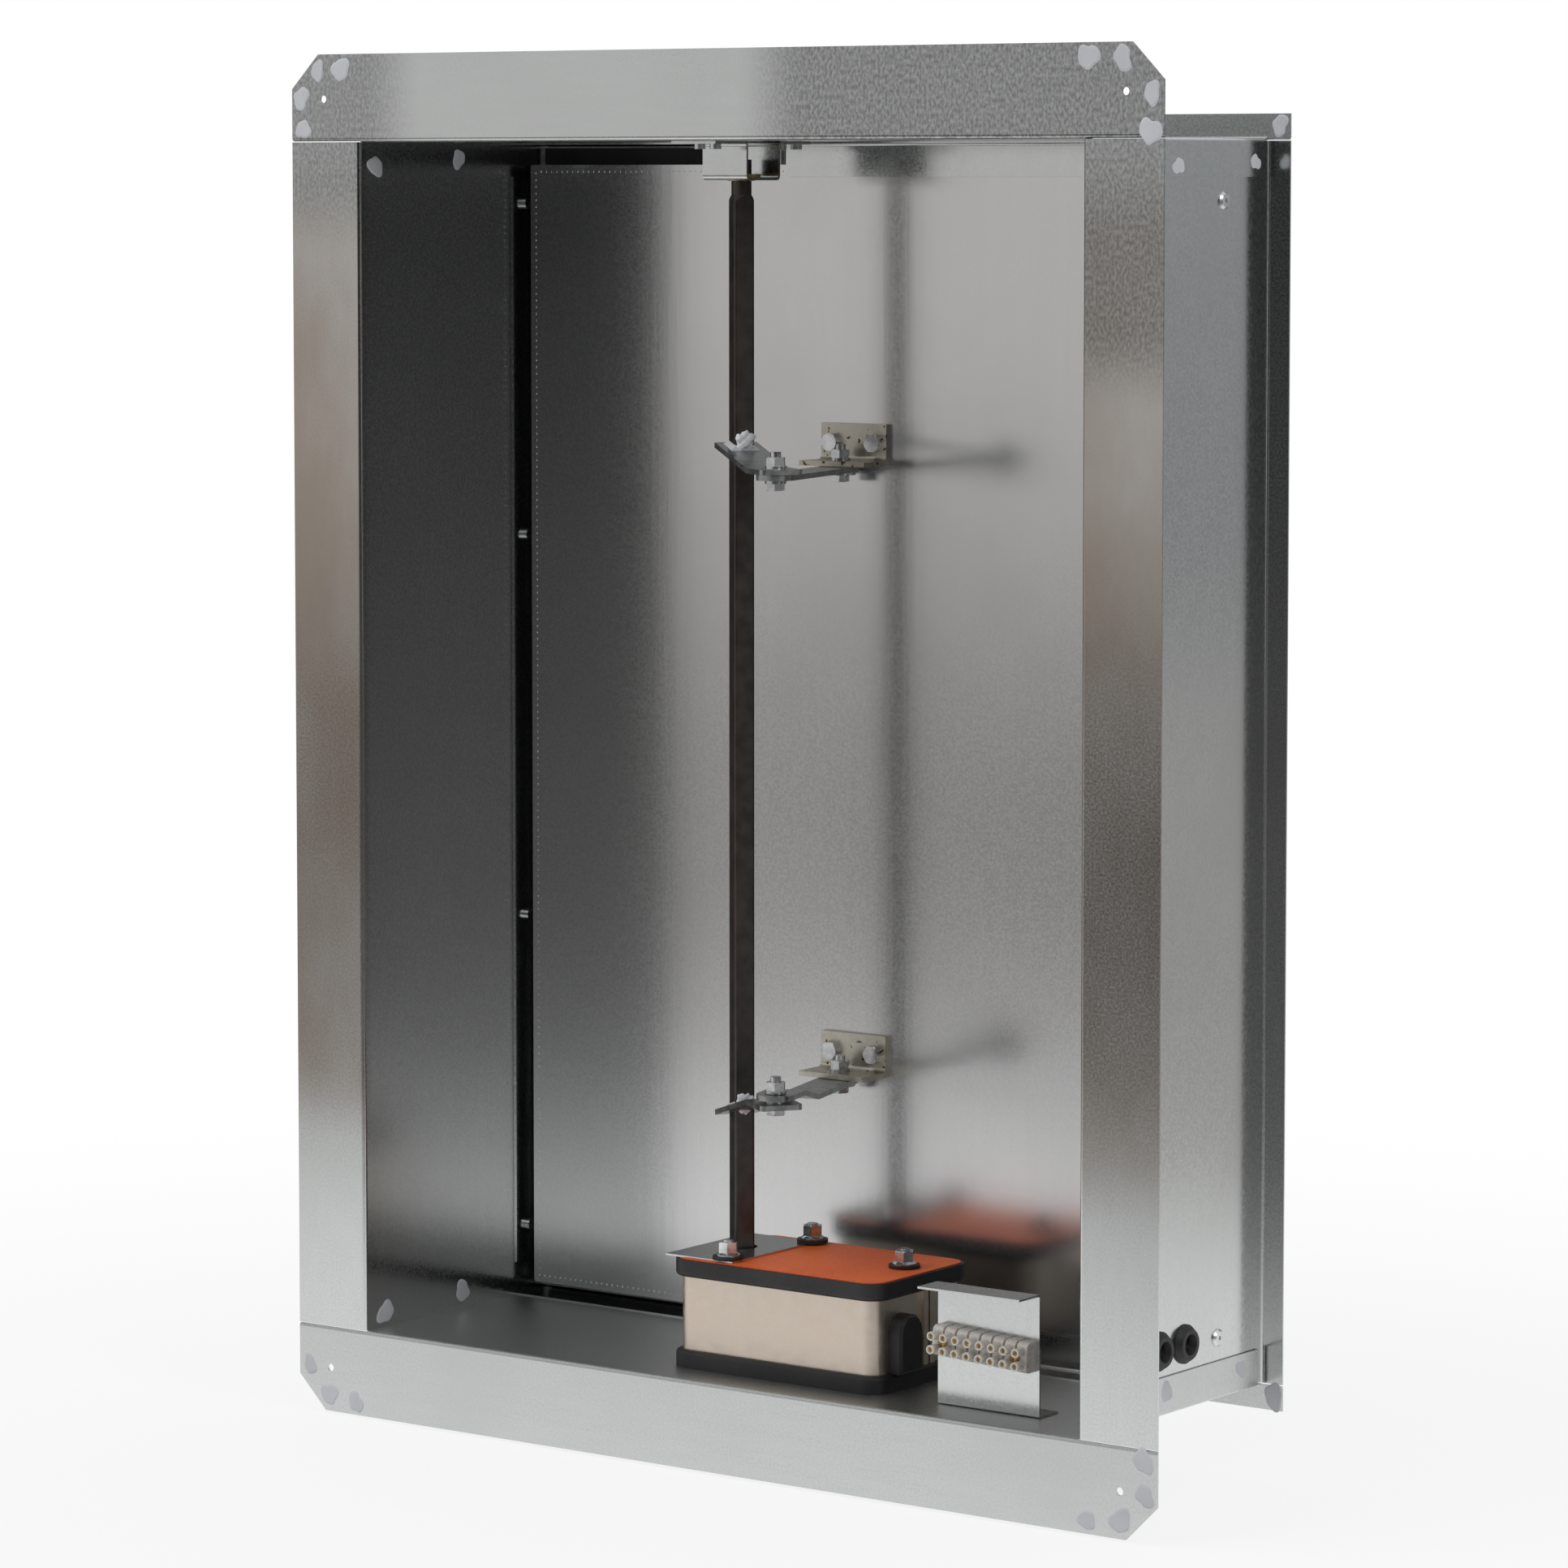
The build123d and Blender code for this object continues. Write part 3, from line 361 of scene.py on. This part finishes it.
def repaint(materials):
    """Give each CAD node its surface by the material slot in the record."""
    for part in frame["record"]["subparts"]:
        give(part["node"], materials[part["material_slot"]])


def mesh_from(form, name):
    """Finished mesh of a form."""
    mesh = bpy.data.meshes.new(name)
    form.to_mesh(mesh)
    form.free()
    return mesh


def piece_from(form, name, material, body):
    """Make a form a piece of its own that rides on a body."""
    piece = bpy.data.objects.new(name, mesh_from(form, name))
    bpy.context.scene.collection.objects.link(piece)
    piece.data.materials.append(material)
    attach(piece, body)


def dab_shape(form, facing, centre, size, seed):
    """Add one flat irregular dab of paint that faces along the given direction."""
    rng = random.Random(seed)
    turn = Vector((0, 0, 1)).rotation_difference(Vector(facing)).to_matrix().to_4x4()
    place = Matrix.Translation(centre) @ turn
    phases = [rng.uniform(0, math.tau) for _ in dab_waves]
    base, top = [], []
    for step in range(dab_outline_points):
        angle = math.tau * step / dab_outline_points
        reach = size
        for (count, swing), phase in zip(dab_waves, phases):
            reach += size * swing * math.sin(count * angle + phase)
        edge = Vector((reach * math.cos(angle), reach * dab_stretch * math.sin(angle), 0))
        base.append(form.verts.new(place @ edge))
        top.append(form.verts.new(place @ (edge * dab_top_share + Vector((0, 0, dab_height)))))
    for step in range(dab_outline_points):
        after = (step + 1) % dab_outline_points
        form.faces.new((base[step], base[after], top[after], top[step]))
    form.faces.new(top)
    form.faces.new(list(reversed(base)))


def paint_dabs(material):
    """Zinc-paint dabs on the spot welds at the corners and along the laps."""
    forward, rightward = (0, -1, 0), (1, 0, 0)
    places = [(forward, (x, 0.0, z)) for x, z in front_dabs]
    places += [(rightward, (-half_width, y, z)) for y, z in left_wall_dabs]
    places += [(rightward, (lap_face, y, z)) for y, z in right_lap_dabs]
    places += [(forward, (x, rear_flange_front, z)) for x, z in rear_flange_dabs]
    form = bmesh.new()
    for seed, (facing, centre) in enumerate(places):
        scattered = seed * 37 % 10 / 10
        size = dab_radius * (dab_smallest + dab_size_spread * scattered)
        dab_shape(form, facing, Vector(centre), size, seed)
    piece_from(form, "weld_paint_dabs", material, "casing")


def edge_marks(material):
    """Row of small pressed marks just inside the blade's four edges."""
    low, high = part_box("blade_front_skin")
    left, right = low[0] + mark_inset, high[0] - mark_inset
    bottom, top = low[2] + mark_inset, high[2] - mark_inset
    places = []
    for index in range(round((top - bottom) / mark_pitch) + 1):
        z = bottom + index * mark_pitch
        places += [(left, z), (right, z)]
    for index in range(1, round((right - left) / mark_pitch)):
        x = left + index * mark_pitch
        places += [(x, bottom), (x, top)]
    form = bmesh.new()
    outward = Matrix.Rotation(math.pi / 2, 4, "X")
    for x, z in places:
        bmesh.ops.create_cone(
            form, cap_ends=True, segments=6, radius1=mark_radius, radius2=mark_radius * mark_tip_share,
            depth=mark_height,
            matrix=Matrix.Translation((x, low[1] - mark_height / 2, z)) @ outward)
    piece_from(form, "blade_edge_marks", material, "blade")


def weld_blob(name, material, centre, seed):
    """Lumpy paint over the weld between a lever and the shaft."""
    rng = random.Random(seed)
    form = bmesh.new()
    bmesh.ops.create_icosphere(form, subdivisions=4, radius=blob_radius)
    offset = Vector((rng.uniform(0, 9), rng.uniform(0, 9), rng.uniform(0, 9)))
    for vertex in form.verts:
        ray = vertex.co.normalized()
        swell = blob_swell * math.sin(4 * ray.x + offset.x) * math.sin(5 * ray.z + offset.y)
        swell += blob_ripple * math.sin(11 * ray.z + offset.z) * math.sin(9 * ray.x + offset.y)
        vertex.co *= 1 + swell
        vertex.co.x *= blob_width_share
        vertex.co.y *= blob_depth_share
    for face in form.faces:
        face.smooth = True
    form.transform(Matrix.Translation(centre) @ Matrix.Rotation(math.radians(weld_turn), 4, "Z"))
    piece_from(form, name, material, "crank")


def make_world():
    """White ground behind the object, and a studio around it for reflections."""
    world = bpy.data.worlds.new("studio")
    bpy.context.scene.world = world
    world.use_nodes = True
    tree = world.node_tree
    links = tree.links
    place = new_node(tree, "ShaderNodeTexCoord")
    ray = place.outputs["Generated"]
    split = new_node(tree, "ShaderNodeSeparateXYZ")
    links.new(ray, split.inputs["Vector"])
    height = split.outputs["Z"]

    room = blended(tree, spread(tree, height, -0.10, 0.45), grey(0.50), grey(0.62))
    front_colour = ramp(tree, height, (
        (-0.06, (0.72, 0.70, 0.68)), (-0.02, (0.66, 0.64, 0.63)), (0.005, grey(0.62)),
        (0.03, grey(1.0)), (0.08, grey(0.34)), (0.16, grey(0.14)), (0.40, grey(0.60))))
    front = spread(tree, along(tree, ray, front_direction), 0.80, 0.95)
    room = blended(tree, front, room, front_colour)
    behind_colour = ramp(tree, height, (
        (-0.06, (0.30, 0.30, 0.31)), (0.02, (0.38, 0.39, 0.40)), (0.20, (0.55, 0.57, 0.59)),
        (0.60, (0.75, 0.76, 0.77))))
    behind = spread(tree, split.outputs["Y"], 0.05, 0.55)
    room = blended(tree, behind, room, behind_colour)
    dim_colour = ramp(tree, height, (
        (-0.10, grey(0.085)), (0.0, grey(0.025)), (0.20, grey(0.02)), (0.50, grey(0.40))))
    dim = spread(tree, along(tree, ray, dim_direction), 0.60, 0.92)
    room = blended(tree, dim, room, dim_colour)

    studio = tree.nodes["Background"]
    links.new(room, studio.inputs["Color"])
    white = new_node(tree, "ShaderNodeBackground")
    white.inputs["Color"].default_value = (1.0, 1.0, 1.0, 1.0)
    path = new_node(tree, "ShaderNodeLightPath")
    backdrop = spread(tree, along(tree, ray, backdrop_direction), 0.90, 0.97)
    mirrored = combined(tree, "MULTIPLY", path.outputs["Is Glossy Ray"], backdrop)
    direct = combined(tree, "MAXIMUM", path.outputs["Is Camera Ray"],
                      path.outputs["Is Transmission Ray"])
    seen_white = combined(tree, "MAXIMUM", direct, mirrored)
    look = mixed(tree, seen_white, studio.outputs["Background"], white.outputs["Background"])
    links.new(look, tree.nodes["World Output"].inputs["Surface"])


def make_floor():
    """Plain pale floor. The camera sees it white with the damper's soft shadow on it.

    Reflections see it as a pool of light that fades away from the damper.
    """
    material = bpy.data.materials.new("studio_floor")
    tree, principled, links = shader(material)
    principled.inputs["Base Color"].default_value = (*grey(0.80), 1.0)
    principled.inputs["Roughness"].default_value = 0.9
    principled.inputs["Specular IOR Level"].default_value = 0.0
    place = new_node(tree, "ShaderNodeTexCoord")
    away = new_node(tree, "ShaderNodeVectorMath", operation="LENGTH")
    links.new(place.outputs["Object"], away.inputs[0])
    distance = away.outputs["Value"]

    pool = ramp(tree, distance, (
        (0.3, grey(0.98)), (0.9, grey(0.90)), (1.4, (0.50, 0.49, 0.48)),
        (2.2, (0.43, 0.42, 0.41)), (4.5, (0.45, 0.44, 0.43))))
    reach = along(tree, place.outputs["Object"], dim_floor_direction)
    unlit = spread(tree, reach, 0.1, 1.0, to_high=0.75)
    pool_glow = new_node(tree, "ShaderNodeEmission")
    links.new(blended(tree, unlit, pool, grey(0.05)), pool_glow.inputs["Color"])
    white_glow = new_node(tree, "ShaderNodeEmission")
    white_glow.inputs["Color"].default_value = (1.0, 1.0, 1.0, 1.0)

    path = new_node(tree, "ShaderNodeLightPath")
    plain = principled.outputs["BSDF"]
    white_share = spread(tree, distance, 0.35, 1.4, 0.82, 1.0)
    seen = mixed(tree, white_share, plain, white_glow.outputs["Emission"])
    look = mixed(tree, path.outputs["Is Glossy Ray"], plain, pool_glow.outputs["Emission"])
    look = mixed(tree, path.outputs["Is Camera Ray"], look, seen)
    links.new(look, tree.nodes["Material Output"].inputs["Surface"])

    form = bmesh.new()
    bmesh.ops.create_circle(form, cap_ends=True, segments=floor_segments, radius=floor_reach)
    floor = bpy.data.objects.new("studio_floor", mesh_from(form, "studio_floor"))
    floor.location = (0, 0, casing_foot - floor_gap)
    floor.data.materials.append(material)
    bpy.context.scene.collection.objects.link(floor)


def area_light(name, place, size, power):
    """Rectangular lamp aimed at the middle of the damper."""
    lamp = bpy.data.lights.new(name, "AREA")
    lamp.shape = "RECTANGLE"
    lamp.size, lamp.size_y = size
    lamp.energy = power
    holder = bpy.data.objects.new(name, lamp)
    holder.location = place
    holder.rotation_euler = (Vector(lamp_aim) - Vector(place)).to_track_quat("-Z", "Y").to_euler()
    bpy.context.scene.collection.objects.link(holder)
    return holder


def make_camera():
    """Camera that sees the damper as the photograph does."""
    data = bpy.data.cameras.new("camera")
    data.lens = camera_lens
    data.sensor_width = camera_sensor
    data.shift_y = camera_shift
    holder = bpy.data.objects.new("camera", data)
    holder.location = camera_place
    holder.rotation_euler = (math.radians(90 - camera_drop), 0, math.radians(camera_turn))
    bpy.context.scene.collection.objects.link(holder)
    bpy.context.scene.camera = holder


bpy.context.scene.view_settings.view_transform = "Standard"
make_camera()

zinc = ((0.655, 0.672, 0.666), (0.556, 0.572, 0.566))
surfaces = {
    "galvanised_sheet": galvanised("galvanised_sheet", *zinc, (0.15, 0.24)),
    "black_rubber": moulded("black_rubber", (0.022, 0.022, 0.023), (0.012, 0.012, 0.013), 0.45),
    "rivet_aluminium": plated("rivet_aluminium", (0.78, 0.79, 0.80), (0.62, 0.63, 0.64), 0.22),
    "brass": plated("brass", (0.72, 0.53, 0.24), (0.48, 0.34, 0.14), 0.25),
    "zinc_plated_steel": plated("zinc_plated_steel", (0.84, 0.85, 0.86), (0.44, 0.45, 0.47), 0.14,
                                bump=0.5),
    "yellowed_zinc_steel": plated("yellowed_zinc_steel", (0.70, 0.665, 0.58), (0.52, 0.49, 0.42),
                                  0.30, speck=(0.10, 0.055, 0.03)),
    "zinc_paint": moulded("zinc_paint", (0.62, 0.63, 0.66), (0.52, 0.53, 0.56), 0.5, 500.0, 0.5),
    "bare_steel": shaft_steel(),
    "black_plastic": moulded("black_plastic", (0.020, 0.020, 0.021), (0.011, 0.011, 0.012), 0.42),
    "dark_plastic": moulded("dark_plastic", grey(0.06), grey(0.04), 0.5),
    "case_steel": plated("case_steel", (0.78, 0.68, 0.59), (0.66, 0.57, 0.48), 0.34),
    "orange_film": moulded("orange_film", (0.86, 0.16, 0.03), (0.78, 0.125, 0.022), 0.42, 400.0, 0.1),
    "mineral_board": moulded("mineral_board", (0.70, 0.68, 0.62), (0.6, 0.58, 0.52), 0.8),
    "clear_plastic": milky_plastic(),
}
repaint(surfaces)

blade_sheet = galvanised("blade_sheet", grey(0.69), grey(0.64), (0.20, 0.24),
                         grain=(1.0, 1.0, 0.04), ribbing=0.22)
give("blade_front_skin", blade_sheet)

side_sheet = galvanised("side_sheet", *zinc, (0.14, 0.22))
# Brown patches: painted reflection of brown surroundings on the front bars
painted_reflection(side_sheet, (-0.40, 0.40), (-0.24, 0.34), (0.55, 0.43, 0.35), 0.85, wide_reflection_scale)
# Grey patches at the upper corners: painted dark reflections
painted_reflection(side_sheet, (0.20, 0.34), (0.20, 0.44), grey(0.32), 0.9, mottle_scale)
painted_reflection(side_sheet, (-0.34, -0.20), (0.28, 0.44), grey(0.36), 0.9, mottle_scale)
give("left_panel", side_sheet)
give("right_panel", side_sheet)

top_sheet = galvanised("top_sheet", *zinc, (0.14, 0.22), grain=(0.12, 1.0, 1.0))
# Grey patches at the upper corners: painted dark reflections
painted_reflection(top_sheet, (0.02, 0.36), (0.30, 0.46), grey(0.30), 0.95, mottle_scale)
painted_reflection(top_sheet, (-0.36, -0.20), (0.30, 0.46), grey(0.36), 0.9, mottle_scale)
give("top_panel", top_sheet)

floor_sheet = galvanised("floor_sheet", *zinc, (0.36, 0.42), grain=(0.12, 1.0, 1.0))
give("bottom_panel", floor_sheet)

lever_steel = plated("lever_steel", (0.50, 0.52, 0.51), (0.33, 0.34, 0.335), 0.26)
for strap in ("upper_lever", "lower_lever", "upper_link", "lower_link"):
    give(strap, lever_steel)

paint_dabs(surfaces["zinc_paint"])
edge_marks(surfaces["zinc_plated_steel"])
weld_paint = moulded("weld_paint", (0.80, 0.81, 0.83), (0.68, 0.69, 0.72), 0.5, 500.0, 0.5)
for level, (centre, seed) in weld_spots.items():
    weld_blob(level + "_weld_paint", weld_paint, centre, seed)

make_world()
make_floor()
key = area_light("key", key_place, key_size, key_power)
key.visible_glossy = False
area_light("fill", fill_place, fill_size, fill_power)
